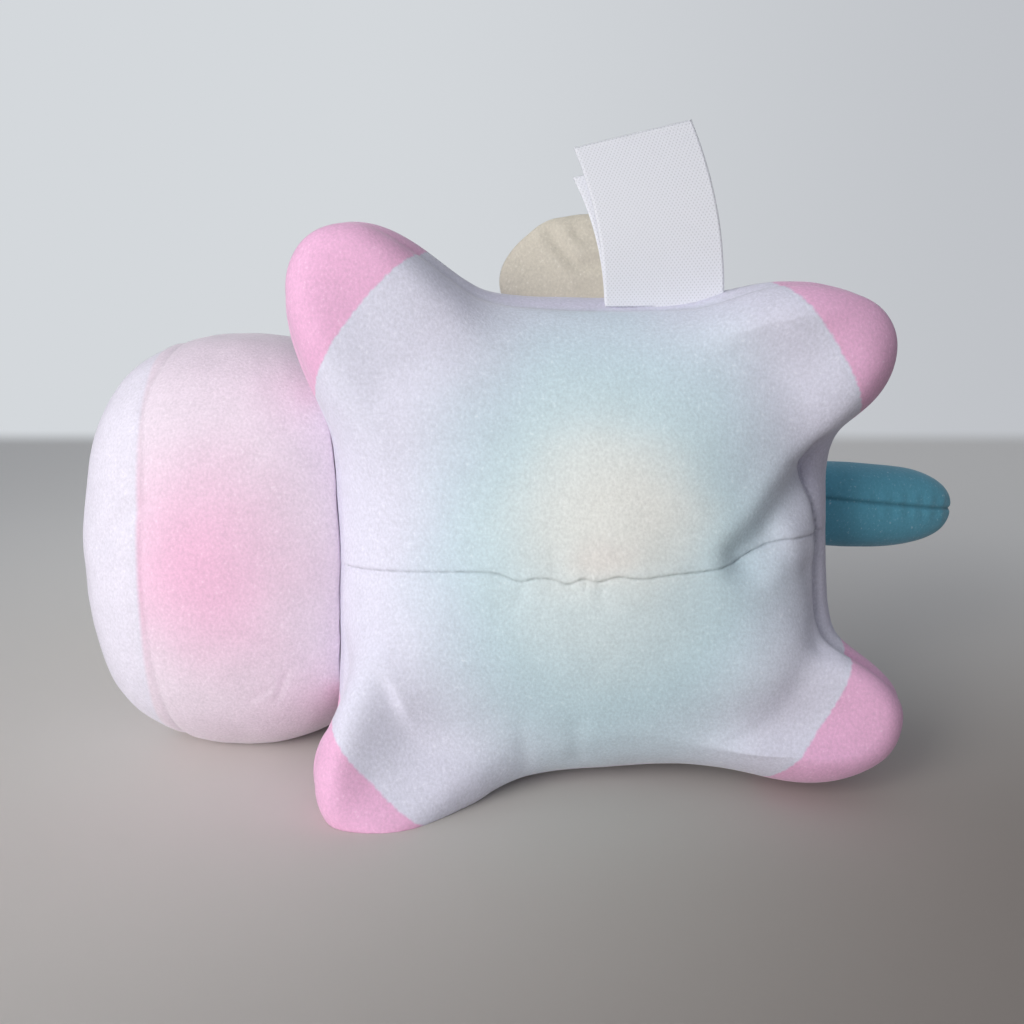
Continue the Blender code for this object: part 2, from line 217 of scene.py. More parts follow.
def fit(cage, low, high):
    """Stretch a cage so that its soft surface fills the box between two corners."""
    surface = subdivided(cage, 2)
    for axis in range(3):
        least = min(point.co[axis] for point in surface.verts)
        most = max(point.co[axis] for point in surface.verts)
        for point in cage.verts:
            share = (point.co[axis] - least) / (most - least)
            point.co[axis] = low[axis] + share * (high[axis] - low[axis])
    surface.free()


def push_out(cage, faces):
    """Extrude a patch of faces, drop the ones it leaves behind, and give the new ones."""
    made = bmesh.ops.extrude_face_region(cage, geom=faces)["geom"]
    bmesh.ops.delete(cage, geom=faces, context="FACES")
    faces = [item for item in made if isinstance(item, bmesh.types.BMFace)]
    return faces, list({point for face in faces for point in face.verts})


def draw_leg(cage, foot):
    """Draw the three faces round a corner of the body out into a leg."""
    outward = Vector((
        math.copysign(body_length, foot.x), math.copysign(body_width, foot.y), -2 * belly_depth
    ))
    corner = max(cage.verts, key=lambda point: point.co.dot(outward))
    faces = list(corner.link_faces)
    points = {point for face in faces for point in face.verts}
    root = sum((point.co for point in points), Vector()) / len(points)
    for share, size in leg_rings:
        faces, points = push_out(cage, faces)
        middle = sum((point.co for point in points), Vector()) / len(points)
        spread = sum((point.co - middle).length for point in points) / len(points)
        for point in points:
            point.co = root + (foot - root) * share + (point.co - middle) * (size * foot_width / 2 / spread)


def refine(form, limit, wanted):
    """Halve the faces that are wanted, and lay the new points on the soft surface."""
    before = set(form.verts)
    places = np.array([face.calc_center_median() for face in form.faces]) / mm
    faces = [face for face, chosen in zip(form.faces, wanted(*places.T)) if chosen]
    edges = list({edge for face in faces for edge in face.edges})
    bmesh.ops.subdivide_edges(form, edges=edges, cuts=1, use_grid_fill=True)
    added = [point for point in form.verts if point not in before]
    for point in added:
        point.co = limit.find_nearest(point.co)[0]
    bmesh.ops.smooth_vert(form, verts=added, factor=0.5, use_axis_x=True, use_axis_y=True, use_axis_z=True)


def distance_to(points, line):
    """How far points lie from a line of (x, y) places in mm, and how far along it they are."""
    nearest = np.full(len(points), np.inf)
    along = np.zeros(len(points))
    walked = 0.0
    for start, end in zip(np.array(line[:-1]), np.array(line[1:])):
        step = end - start
        length = np.linalg.norm(step)
        share = np.clip((points - start) @ step / length ** 2, 0.0, 1.0)
        away = np.linalg.norm(points - start - share[:, None] * step, axis=1)
        closer = away < nearest
        nearest[closer] = away[closer]
        along[closer] = walked + share[closer] * length
        walked += length
    return nearest, along


def softened(line):
    """A line with its corners cut, as a thread runs through cloth."""
    points = np.array(line)
    for _ in range(2):
        start, end = points[:-1], points[1:]
        corners = np.stack((0.75 * start + 0.25 * end, 0.25 * start + 0.75 * end), axis=1).reshape(-1, 2)
        points = np.vstack((points[:1], corners, points[-1:]))
    return points


def hill(distance, width):
    """One at no distance, falling softly to nothing past the width."""
    return np.exp(-(distance / width) ** 2)


def swell(distance, shape):
    """A swelling or a groove in mm: its height, falling softly to nothing past its width."""
    height, width = shape
    return height * hill(distance, width)


def towards_belly(facing):
    """One where the standing toy's surface faces down, and nothing where it faces sideways or up."""
    return np.clip(-facing[:, 2] * 2.0, 0.0, 1.0)


def lumps(points, height, size, seed):
    """Soft uneven filling, with lumps of about one height and size in mm."""
    shares = [noise.noise(Vector(point) / size + Vector((seed, 0.0, 0.0))) for point in points]
    return height * np.array(shares)


def raise_surface(form, relief):
    """Move the surface out along its normals and note the folds, where the pile lies in shade.

    The relief takes arrays of places in mm and of normals, and gives the rise in mm and the fold.
    """
    form.normal_update()
    places = np.array([point.co for point in form.verts]) / mm
    facing = np.array([point.normal for point in form.verts])
    shade = form.verts.layers.float.new("fold")
    for point, rise, fold in zip(form.verts, *relief(places, facing)):
        point.co += point.normal * float(rise) * mm
        point[shade] = fold


def side_seam_height(x, y):
    """The height in mm of the side seam, which runs down to each foot and lowest at the pressed one."""
    feet_share = np.clip((np.hypot(x, y) - 38.0) / 16.0, 0.0, 1.0)
    rump_share = hill(x - rump_end, 8.0) * hill(y, 20.0)
    pressed_share = hill(np.hypot(x - 38.0, y + 36.0), 12.0)
    lower = side_drop_feet * feet_share + side_drop_rump * rump_share + side_drop_pressed * pressed_share
    return side_seam_middle - lower


belly_seam = softened(belly_seam)
seam_xs, seam_ys = belly_seam[::-1].T


def side_seam_relief(places, facing):
    """The rise in mm of the side seam, and how much painted shade each place near it gets in its fold."""
    x, y, z = places.T
    outward = np.hypot(facing[:, 0], facing[:, 1])
    rim = np.abs(z - side_seam_height(x, y)) / np.maximum(outward, 0.4)
    edge = np.clip(outward * 2.5 - 0.7, 0.0, 1.0) * np.clip(1.0 + facing[:, 1] * 1.4, 0.0, 1.0)
    edge *= 1.0 - hill(y + 4.0, 26.0) * np.clip((x - 30.0) / 6.0, 0.0, 1.0)
    at_rump = hill(x - rump_end, rump_reach)
    deeper = 1.0 + rump_pull / side_valley[0] * at_rump
    rise = edge * (-swell(rim, side_groove) - deeper * swell(rim, side_valley))
    shade = np.maximum(swell(rim, side_shade), at_rump * hill(y, 24.0) * swell(rim, rump_shade))
    return rise, edge * shade


def body_relief(places, facing):
    """The relief in mm of the sewn and filled bag, and how much painted shade each place gets in its fold."""
    x, y, z = places.T
    flat_places = places[:, :2]
    under = towards_belly(facing)
    rise = sum(lumps(places, *lump) for lump in body_lumps)
    seam, along = distance_to(flat_places, belly_seam)
    above = np.where(y > np.interp(x, seam_xs, seam_ys), 1.0, -0.4)
    by_hand = hill(x - sum(hand_closed) / 2, (hand_closed[1] - hand_closed[0]) * 0.62)
    stitches = 0.75 + 0.25 * np.sin(along * 2.3)
    rise -= under * (swell(seam, seam_valley) + stitches * swell(seam, seam_thread))
    rise += under * above * swell(seam - seam_lip_away, seam_lip)
    pull = np.sin(along * 1.3 + 2.5 * np.sin(along * 0.6))
    rise += under * pull * by_hand * swell(seam - seam_pucker_away, seam_pucker)
    fold, _ = distance_to(flat_places, rump_fold)
    rise += under * (swell(fold - rump_lip_away, rump_lip) - swell(fold, rump_valley))
    rise += under * swell(np.hypot(x - rump_flap[0], y - rump_flap[1]), rump_flap_swell)
    crease, _ = distance_to(flat_places, leg_fold)
    rise -= under * swell(crease, leg_crease)
    for tucks, shape in ((hem_tucks, hem_tuck), (hand_tucks, hand_tuck)):
        for tuck in tucks:
            away, _ = distance_to(flat_places, tuck)
            rise -= under * swell(away, shape)
    front = np.clip(0.5 - 1.5 * facing[:, 2], 1.0, 2.0) - 1.0
    for middle_x, middle_y, height, width in swellings:
        rise += front * height * hill(np.hypot(x - middle_x, y - middle_y), width)
    for *middle, height, width in flank_swellings:
        rise += height * hill(np.linalg.norm(places - middle, axis=1), width)
    low_front = np.clip(-facing[:, 1], 0.0, 1.0) * np.clip((14.0 - z) / 8.0, 0.0, 1.0)
    rise -= hem_lift * low_front * hill(x - hem_middle, hem_half_length)
    side_rise, side_fold = side_seam_relief(places, facing)
    thread_fold = thread_shade * under * stitches * hill(seam, seam_thread[1])
    return rise + side_rise, np.maximum(thread_fold, side_fold)


def lay_on_table(form):
    """Lay a finished form down on its side and press flat what reaches the table."""
    bmesh.ops.transform(form, matrix=lying, verts=form.verts)
    for point in form.verts:
        point.co.z = max(point.co.z, 0.0)


def add_piece(name, form, material, slot, *nodes):
    """The finished piece as an object that rides on the toy and stands for its CAD nodes."""
    mesh = bpy.data.meshes.new(name)
    form.to_mesh(mesh)
    form.free()
    mesh.materials.append(material)
    mesh.shade_smooth()
    piece = bpy.data.objects.new(name, mesh)
    bpy.context.scene.collection.objects.link(piece)
    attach(piece, "root")
    if nodes:
        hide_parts(*nodes)
    return piece


def linear(colour):
    """An sRGB colour from 0 to 255 as the linear colour that a shader takes."""
    shares = [c / 255.0 for c in colour]
    return tuple(s / 12.92 if s <= 0.04045 else ((s + 0.055) / 1.055) ** 2.4 for s in shares) + (1.0,)


def put(tree, kind, settings, sockets):
    """A node with its settings; a socket takes a value or is linked to another node's output."""
    made = tree.nodes.new("ShaderNode" + kind)
    for name, value in settings.items():
        setattr(made, name, value)
    for name, value in sockets.items():
        if isinstance(value, bpy.types.NodeSocket):
            tree.links.new(value, made.inputs[name])
        else:
            made.inputs[name].default_value = value
    return made


def standing_place(tree):
    """Where a point is on the standing toy, worked back from where it lies."""
    object_place = put(tree, "TexCoord", {}, {}).outputs["Object"]
    back = lying.inverted()
    return put(tree, "Mapping", {}, {
        "Vector": object_place, "Location": back.to_translation(), "Rotation": back.to_euler()
    }).outputs["Vector"]


def wobbled(tree, place, size, reach):
    """A place that wanders by up to a reach, over about a size, as a print bleeds into pile."""
    cloud = put(tree, "TexNoise", {}, {"Vector": place, "Scale": 1.0 / size, "Detail": 2.0})
    centred = put(tree, "VectorMath", {"operation": "SUBTRACT"}, {
        0: cloud.outputs["Color"], 1: (0.5, 0.5, 0.5)
    })
    shift = put(tree, "VectorMath", {"operation": "SCALE"}, {0: centred.outputs[0], "Scale": 2.0 * reach})
    return put(tree, "VectorMath", {"operation": "ADD"}, {0: place, 1: shift.outputs[0]}).outputs[0]


def distance_from(tree, place, middle, stretch):
    """The distance from a point, with each axis stretched first."""
    from_middle = put(tree, "VectorMath", {"operation": "SUBTRACT"}, {0: place, 1: middle})
    stretched = put(tree, "VectorMath", {"operation": "MULTIPLY"}, {0: from_middle.outputs[0], 1: stretch})
    return put(tree, "VectorMath", {"operation": "LENGTH"}, {0: stretched.outputs[0]}).outputs["Value"]


def fade(tree, value, start, end):
    """Nothing at the start, one at the end, and a smooth step between."""
    return put(tree, "MapRange", {"interpolation_type": "SMOOTHSTEP"}, {
        "Value": value, "From Min": start, "From Max": end
    }).outputs["Result"]


def blend_colours(tree, share, first, second):
    """The first colour, turning into the second as the share grows to one."""
    mix = put(tree, "Mix", {"data_type": "RGBA"}, {0: share, 6: first, 7: second})
    return mix.outputs[2]


def plush(name, dye):
    """Short-pile plush: a dyed or printed pile that stands in small tufts and takes light at its edges, with
    painted shade in its folds and painted glints on its highest tufts.
    """
    material = bpy.data.materials.new(name)
    material.use_nodes = True
    tree = material.node_tree
    shader = tree.nodes["Principled BSDF"]
    place = standing_place(tree)
    along_nap = put(tree, "Mapping", {}, {"Vector": place, "Scale": nap_stretch}).outputs["Vector"]
    tufts = put(tree, "TexNoise", {}, {
        "Vector": along_nap, "Scale": tuft_count, "Detail": 2.0, "Roughness": 0.6
    })
    brushed = put(tree, "TexNoise", {}, {
        "Vector": along_nap, "Scale": brushed_count, "Detail": 3.0, "Roughness": 0.6
    })
    lay = put(tree, "Math", {"operation": "MULTIPLY_ADD"}, {
        0: brushed.outputs["Fac"], 1: brushed_share, 2: tufts.outputs["Fac"]
    }).outputs[0]
    dark = put(tree, "MapRange", {}, {
        "Value": lay, "From Min": 0.40, "From Max": 0.90, "To Min": pile_dark, "To Max": pile_light
    }).outputs["Result"]
    # painted shade: where the relief noted a fold, the dye is darkened
    fold = put(tree, "Attribute", {"attribute_name": "fold"}, {}).outputs["Fac"]
    shade = put(tree, "Math", {"operation": "MULTIPLY_ADD"}, {0: fold, 1: -fold_painted_shade, 2: 1.0}).outputs[0]
    shade = put(tree, "Math", {"operation": "MULTIPLY"}, {0: shade, 1: dark}).outputs[0]
    shaded = put(tree, "VectorMath", {"operation": "SCALE"}, {0: dye(tree, place), "Scale": shade}).outputs[0]
    # painted highlight: the highest tufts are mixed towards white as glints
    highest = fade(tree, tufts.outputs["Fac"], 0.62, 0.76)
    shine = put(tree, "Math", {"operation": "MULTIPLY"}, {0: highest, 1: tip_painted_glint}).outputs[0]
    painted_glint_colour = blend_colours(tree, shine, shaded, (1.0, 1.0, 1.0, 1.0))
    tree.links.new(painted_glint_colour, shader.inputs["Base Color"])
    pile = put(tree, "Bump", {}, {"Strength": 0.5, "Distance": pile_depth, "Height": lay})
    tree.links.new(pile.outputs["Normal"], shader.inputs["Normal"])
    shader.inputs["Roughness"].default_value = 1.0
    shader.inputs["Specular IOR Level"].default_value = 0.15
    shader.inputs["Sheen Weight"].default_value = 0.35
    shader.inputs["Sheen Roughness"].default_value = 0.4
    return material


def belly_print(tree, place):
    """The belly's pastel fields on lilac, the plainer back and the pink feet."""
    soft = wobbled(tree, place, *field_wander)
    dye = linear(print_lilac)
    for middle, half_size, start, end, colour in belly_fields:
        stretch = (1.0 / (half_size[0] * mm), 1.0 / (half_size[1] * mm), 0.0)
        reach = distance_from(tree, soft, Vector((*middle, 0.0)) * mm, stretch)
        dye = blend_colours(tree, fade(tree, reach, end, start), dye, linear(colour))
    height = put(tree, "SeparateXYZ", {}, {0: place}).outputs["Z"]
    dye = blend_colours(tree, fade(tree, height, *back_from), dye, linear(back_lilac))
    edge = wobbled(tree, place, *pink_wander)
    from_middle = distance_from(tree, edge, pink_middle, pink_stretch)
    foot = fade(tree, from_middle, 0.995, 1.005)
    return blend_colours(tree, foot, dye, linear(pink_foot))


cage = pillow_cage(body_plan, body_side, 2)
fit(cage, (-body_length / 2, -body_width / 2 - body_sag, -belly_depth),
    (body_length / 2, body_width / 2 - body_sag, back_height))
for foot in feet:
    draw_leg(cage, foot)
fine = subdivided(cage, 5)
limit = BVHTree.FromBMesh(fine)
fine.free()
body_form = subdivided(cage, 4)
cage.free()


def near_lines(reach, lines):
    """Picks the places on the belly side that lie within a reach of any of the lines."""
    def wanted(x, y, z):
        spots = np.stack((x, y), axis=1)
        nearest = np.min([distance_to(spots, line)[0] for line in lines], axis=0)
        return (z < -4.0) & (nearest < reach)
    return wanted


def near_side_seam(reach):
    """Picks the places that lie within a reach of the side seam's height."""
    return lambda x, y, z: np.abs(z - side_seam_height(x, y)) < reach


refine(body_form, limit, lambda x, y, z: (z < -6.0) & (np.maximum(np.abs(x), np.abs(y)) < 41.0))
refine(body_form, limit, near_lines(line_reach, [belly_seam, rump_fold, *hem_tucks]))
refine(body_form, limit, near_lines(seam_reach, [belly_seam]))
for side_reach in side_reaches:
    refine(body_form, limit, near_side_seam(side_reach))
raise_surface(body_form, body_relief)
body_tree = BVHTree.FromBMesh(body_form)
lay_on_table(body_form)
body_plush = plush("belly plush", belly_print)
body = add_piece("stuffed_body", body_form, body_plush, "belly_plush", "body")


# Head
# A second stuffed bag of the same plush: a chin panel printed with a pink field, and a face panel
# that is sewn to it along a seam behind the muzzle. It is sewn to the front of the body.
head_length = 57.0 * mm
head_width = 74.5 * mm
head_height = 60.0 * mm
head_middle = Vector((59.5, -4.2, 22.0)) * mm
head_plan = 2.6
head_side = 2.4
seam_clearance = 0.25 * mm
face_seam = 72.3
face_seam_middle = -4.2
face_seam_bow = 0.0022
face_seam_bump = (1.6, 7.0)
face_seam_bump_side = 22.0
# fold from the seam to the muzzle, as (x, y) in mm
muzzle_fold = [(71.6, 5.0), (76.3, 2.2), (80.5, -2.0)]
chin_wrinkles = ([(52.0, -26.0), (55.5, -28.5)], [(49.0, -23.5), (51.0, -28.0)])
chin_lilac = (244, 229, 242)
chin_pink = (252, 202, 230)
face_lilac = (241, 236, 250)
chin_field = Vector((63.5, -4.5, -8.0)) * mm
chin_stretch = (0.85, 0.85, 0.5)
chin_fade = (22 * mm, 1 * mm)
chin_wander = (14 * mm, 3 * mm)
# lumps of the filling, and the seams and creases as on the body
head_lumps = ((0.35, 12.0, 21.0), (0.1, 4.0, 27.0))
face_groove = (0.12, 0.5)
face_valley = (0.35, 2.6)
face_lip = (0.12, 0.9)
face_lip_away = 1.4
muzzle_crease = (0.6, 1.8)
chin_crease = (0.16, 0.5)
face_shade = (0.12, 0.5)


def seat(form, middle, carrier):
    """Press a form's points back from the piece that carries it, towards the form's own middle."""
    for point in form.verts:
        line = point.co - middle
        spot, _, _, reach = carrier.ray_cast(middle, line.normalized(), line.length + seam_clearance)
        if spot is not None:
            point.co = middle + line.normalized() * (reach - seam_clearance)


def face_seam_line(y):
    """The x in mm of the seam between chin and face panel, which bows back at its ends."""
    bow = face_seam_bow * (y - face_seam_middle) ** 2
    return face_seam - bow + swell(y - face_seam_bump_side, face_seam_bump)


def head_relief(places, facing):
    """The face seam, the fold to the muzzle and the chin's wrinkles, with painted shade along the seam."""
    x, y, z = places.T
    rise = sum(lumps(places, *lump) for lump in head_lumps)
    seam = np.abs(x - face_seam_line(y)) * np.clip(1.4 - np.abs(facing[:, 0]), 0.4, 1.0)
    rise += swell(seam - face_lip_away, face_lip) - swell(seam, face_groove) - swell(seam, face_valley)
    under = towards_belly(facing)
    fold, _ = distance_to(places[:, :2], muzzle_fold)
    rise -= under * swell(fold, muzzle_crease)
    for wrinkle in chin_wrinkles:
        away, _ = distance_to(places[:, :2], wrinkle)
        rise -= under * swell(away, chin_crease)
    return rise, swell(seam, face_shade)


def head_print(tree, place):
    """The chin's pink field on pale lilac, up to the seam of the lilac face panel."""
    soft = wobbled(tree, place, *chin_wander)
    reach = distance_from(tree, soft, chin_field, chin_stretch)
    pink = fade(tree, reach, *chin_fade)
    chin = blend_colours(tree, pink, linear(chin_lilac), linear(chin_pink))
    forward = put(tree, "SeparateXYZ", {}, {0: place}).outputs["X"]
    face = fade(tree, forward, face_seam * mm, (face_seam + 1.0) * mm)
    return blend_colours(tree, face, chin, linear(face_lilac))


cage = pillow_cage(head_plan, head_side, 2)
half = Vector((head_length, head_width, head_height)) / 2
fit(cage, head_middle - half, head_middle + half)
fine = subdivided(cage, 6)
limit = BVHTree.FromBMesh(fine)
fine.free()
head_form = subdivided(cage, 5)
cage.free()
refine(head_form, limit, lambda x, y, z: (z < 20.0) & (np.abs(x - face_seam_line(y)) < 1.6))
raise_surface(head_form, head_relief)
seat(head_form, head_middle, body_tree)
head_tree = BVHTree.FromBMesh(head_form)
lay_on_table(head_form)
head = add_piece("stuffed_head", head_form, plush("head plush", head_print), "head_plush", "head")


# Ears
# Two small padded ears of pink plush, each sewn from two panels with a seam round its rim,
# and stitched to the crown. They lean outwards.
ear_width = 26.0 * mm
ear_length = 24.0 * mm
ear_thickness = 10.0 * mm
ear_tip = 0.50
ear_plan = 2.0
ear_side_power = 4.0
ear_side = 21.0 * mm
ear_foot = 0.30
ear_splay = 20.0
ear_sink = 8.0 * mm
ear_pink = (240, 190, 222)
ear_lumps = (0.15, 6.0, 5.0)
ear_rim_depth = 0.45
ear_rim_width = 0.5
ear_rim_shade = 0.4
ear_hollow = (0.9, 7.0)
ear_hollow_height = 9.0


def plain_dye(colour):
    """A dye of one colour that fades a little from tuft to tuft."""
    def dye(tree, place):
        cloud = put(tree, "TexNoise", {}, {"Vector": place, "Scale": 120.0, "Detail": 3.0})
        paler = tuple(min(255, c * 1.05) for c in colour)
        return blend_colours(tree, cloud.outputs["Fac"], linear(colour), linear(paler))
    return dye


def ear_relief(places, facing):
    """A hollow front and a sewn rim, with painted shade along the rim."""
    x, y, z = places.T
    rim = hill(x, ear_rim_width) * np.clip(1.6 - 2.0 * np.abs(facing[:, 0]), 0.0, 1.0)
    front = np.clip(facing[:, 0], 0.0, 1.0)
    hollow = front * swell(np.hypot(y, z - ear_hollow_height), ear_hollow)
    return lumps(places, *ear_lumps) - ear_rim_depth * rim - hollow, ear_rim_shade * rim


ear_plush = plush("ear plush", plain_dye(ear_pink))
crown_share = (ear_side / (head_width / 2)) ** head_side
crown = head_height / 2 * (1.0 - crown_share) ** (1.0 / head_side)
for name, side in (("ear_left", 1), ("ear_right", -1)):
    cage = pillow_cage(ear_plan, ear_side_power, 1)
    for point in cage.verts:
        taper = 1.0 + (ear_tip - 1.0) * (point.co.z + 1.0) / 2
        point.co.x *= taper
        point.co.y *= taper
    fit(cage, (-ear_thickness / 2, -ear_width / 2, -ear_sink), (ear_thickness / 2, ear_width / 2, ear_length))
    ear_form = subdivided(cage, 5)
    cage.free()
    raise_surface(ear_form, ear_relief)
    place = Matrix.Translation(head_middle) @ Matrix.Rotation(math.radians(-side * ear_splay), 4, "X")
    place = place @ Matrix.Translation((0.0, side * ear_side * ear_foot, crown))
    bmesh.ops.transform(ear_form, matrix=place, verts=ear_form.verts)
    seat(ear_form, place @ Vector((0.0, 0.0, ear_length * 0.6)), head_tree)
    lay_on_table(ear_form)
    ear = add_piece("padded_" + name, ear_form, ear_plush, "ear_plush", name)


# Horn
# A tube of smooth gold-cream cloth, stuffed and wound with a thread that pulls it into a spiral.
# It is stitched to the forehead between the ears.
horn_width = 13.0 * mm
horn_length = 34.0 * mm
horn_tip = 3.2 * mm
horn_taper = 1.15
horn_tilt = 24.0
horn_sink = 6.0 * mm
horn_lobes = 3
horn_turn = 300.0
horn_groove = 0.14
horn_cream = (240, 226, 186)
horn_thread = 0.3 * mm
horn_roughness = 0.6
horn_steps = 64
# the rounded tip: how far in each of its two rings lies, and how much higher
tip_inset = 0.5 * mm
tip_rises = (0.45 * mm, 0.2 * mm)


def horn_surface(angle, share):
    """A point on the wound horn before it is placed: its angle round, and its share of the height."""
    wind = horn_lobes * (angle - math.radians(horn_turn) * share)
    reach = (horn_width + (horn_tip - horn_width) * share ** horn_taper) / 2
    reach *= 1.0 - horn_groove * (0.5 - 0.5 * math.cos(wind))
    height = share * (horn_length + horn_sink) - horn_sink
    return Vector((reach * math.cos(angle), reach * math.sin(angle), height))


def satin(name, colour, thread, roughness):
    """Smooth cloth or thread with fine ribs that catch the light."""
    material = bpy.data.materials.new(name)
    material.use_nodes = True
    tree = material.node_tree
    shader = tree.nodes["Principled BSDF"]
    place = standing_place(tree)
    ribs = put(tree, "TexWave", {"wave_type": "BANDS", "bands_direction": "DIAGONAL"}, {
        "Vector": place, "Scale": 0.3 / thread, "Distortion": 1.5, "Detail": 2.0
    })
    cloud = put(tree, "TexNoise", {}, {"Vector": place, "Scale": 0.5 / thread, "Detail": 3.0})
    darker = tuple(c * 0.86 for c in colour)
    shade = blend_colours(tree, cloud.outputs["Fac"], linear(darker), linear(colour))
    tree.links.new(shade, shader.inputs["Base Color"])
    bump = put(tree, "Bump", {}, {"Strength": 0.35, "Distance": thread / 2, "Height": ribs.outputs["Fac"]})
    tree.links.new(bump.outputs["Normal"], shader.inputs["Normal"])
    shader.inputs["Roughness"].default_value = roughness
    shader.inputs["Sheen Weight"].default_value = 0.2
    return material


horn_form = bmesh.new()
bmesh.ops.create_circle(horn_form, cap_ends=True, segments=72, radius=1.0)
sole = bmesh.ops.duplicate(horn_form, geom=horn_form.faces[:])["geom"]
faces = [item for item in sole if isinstance(item, bmesh.types.BMFace)]
for _ in range(horn_steps):
    faces, points = push_out(horn_form, faces)
    bmesh.ops.translate(horn_form, verts=points, vec=(0.0, 0.0, 1.0 / horn_steps))
for point in horn_form.verts:
    point.co = horn_surface(math.atan2(point.co.y, point.co.x), point.co.z)
bmesh.ops.remove_doubles(horn_form, verts=horn_form.verts, dist=0.01 * mm)
tip = [face for face in horn_form.faces if len(face.verts) > 4 and face.calc_center_median().z > 0]
for tip_rise in tip_rises:
    bmesh.ops.inset_region(horn_form, faces=tip, thickness=tip_inset, depth=tip_rise)
horn_place = Matrix.Translation(head_middle) @ Matrix.Rotation(math.radians(horn_tilt), 4, "Y")
horn_place = horn_place @ Matrix.Translation((0.0, 0.0, head_height / 2))
bmesh.ops.transform(horn_form, matrix=horn_place, verts=horn_form.verts)
seat(horn_form, horn_place @ Vector((0.0, 0.0, horn_length / 2)), head_tree)
bmesh.ops.recalc_face_normals(horn_form, faces=horn_form.faces)
lay_on_table(horn_form)
horn_cloth = satin("horn cloth", horn_cream, horn_thread, horn_roughness)
horn = add_piece("wound_horn", horn_form, horn_cloth, "horn_cloth", "horn")


# Wings
# Two flat stuffed wings of cream plush with a scalloped edge, one lobe for each feather, and a line
# of stitching between the lobes. Each is sewn to the back; the lower one is folded up under the toy.
wing_span = 30.4 * mm
wing_chord = 39.6 * mm
wing_thickness = 8.0 * mm
wing_side = 24.0 * mm
wing_rise = 19.0 * mm
wing_forward = -4.6 * mm
wing_feathers = 3
wing_turn = -12.0
feather_notch = 0.14
feather_round = 3.0
wing_lifts = (("wing_left", 1, 0.0), ("wing_right", -1, 76.0))
wing_cream = (216, 209, 194)
# stitched line between the layers of feathers, as (x, y) in mm from the wing's middle
feather_line = [(9.5, 10.7), (7.8, 8.4), (5.1, 5.3), (-0.3, 5.8), (-7.0, 4.0)]
feather_dimple = (5.1, 11.0)
wing_lumps = (0.2, 6.0, 40.0)
wing_rim_depth = 0.3
wing_rim_shade = 0.3
notch_line = (0.6, 0.9)
layer_line = (0.35, 0.9)
layer_lip = (0.35, 1.2)
layer_lip_away = 2.2
dimple_pull = (0.5, 0.9)


def wing_relief(places, facing):
    """A stitched line between the layers of feathers, a dimple, lines to the notches and a sewn rim with
    painted shade.
    """
    x, y, z = places.T
    from_middle = np.stack((x, y - wing_span / mm / 2), axis=1)
    reach = np.hypot(*from_middle.T) / (wing_span / mm / 2)
    feather = wing_feathers * (np.arctan2(from_middle[:, 1], x) - math.radians(wing_turn)) / math.tau % 1.0
    notch = np.minimum(feather, 1.0 - feather) * reach * wing_span / mm / 2 * math.tau / wing_feathers
    layer, _ = distance_to(from_middle, feather_line)
    dimple = np.hypot(from_middle[:, 0] - feather_dimple[0], from_middle[:, 1] - feather_dimple[1])
    rise = lumps(places, *wing_lumps) - swell(notch, notch_line) * np.clip(reach * 2.0 - 1.2, 0.0, 1.0)
    rise += swell(layer - layer_lip_away, layer_lip) - swell(layer, layer_line) - swell(dimple, dimple_pull)
    rim = hill(z, 0.4) * np.clip(1.6 - 2.0 * np.abs(facing[:, 2]), 0.0, 1.0)
    return rise - wing_rim_depth * rim, wing_rim_shade * rim


wing_plush = plush("wing plush", plain_dye(wing_cream))
for name, side, lift in wing_lifts:
    wing_form = bmesh.new()
    bmesh.ops.create_uvsphere(wing_form, u_segments=120, v_segments=60, radius=1.0)
    for point in wing_form.verts:
        angle = math.atan2(point.co.y, point.co.x) - math.radians(wing_turn)
        feather = wing_feathers * angle / math.tau % 1.0
        scallop = 1.0 - feather_notch * abs(2.0 * feather - 1.0) ** feather_round
        point.co.x *= scallop * wing_chord / 2
        point.co.y = (1.0 + point.co.y * scallop) * wing_span / 2
        point.co.z *= wing_thickness / 2
    raise_surface(wing_form, wing_relief)
    flip = Matrix.Diagonal((1.0, side, 1.0, 1.0))
    place = Matrix.Translation((wing_forward, side * wing_side, wing_rise))
    place = place @ Matrix.Rotation(math.radians(side * lift), 4, "X")
    bmesh.ops.transform(wing_form, matrix=place @ flip, verts=wing_form.verts)
    bmesh.ops.recalc_face_normals(wing_form, faces=wing_form.faces)
    seat(wing_form, place @ Vector((0.0, side * wing_span * 0.7, 0.0)), body_tree)
    lay_on_table(wing_form)
    wing = add_piece("stuffed_" + name, wing_form, wing_plush, "wing_plush", name)


# Tail
# A stuffed roll of teal plush with one seam along its side, sewn to the rump above the belly panel.
# Its end is rounded and curls up a little.
tail_length = 44.6 * mm
tail_width = 15.5 * mm
tail_depth = 17.0 * mm
tail_plan = 3.4
tail_side_power = 2.4
tail_root = Vector((-body_length / 2 + 14.0 * mm, 3.0 * mm, 19.0 * mm))
tail_droop = 3.0
tail_curl = 12.0
tail_teal = (104, 176, 200)
tail_lumps = (0.3, 8.0, 60.0)
# the seam's place where the tail comes out of the rump, its slope, and how much of the tail is hidden
tail_seam_side = 1.7
tail_seam_slope = 0.066
tail_hidden = 19.0
tail_groove = (0.35, 0.4)
tail_valley = (0.3, 2.2)
tail_pucker = (0.10, 1.5)
tail_pucker_away = 1.0
tail_shade = (0.6, 0.35)


def tail_relief(places, facing):
    """One puckered seam along the side that faces the belly, with painted shade along it."""
    x, y, z = places.T
    rise = lumps(places, *tail_lumps)
    seam = np.abs(y - tail_seam_side - tail_seam_slope * (x + tail_hidden))
    under = towards_belly(facing)
    rise -= under * (swell(seam, tail_groove) + swell(seam, tail_valley))
    rise -= under * np.sin(x * 1.9) * swell(seam - tail_pucker_away, tail_pucker)
    return rise, under * swell(seam, tail_shade)


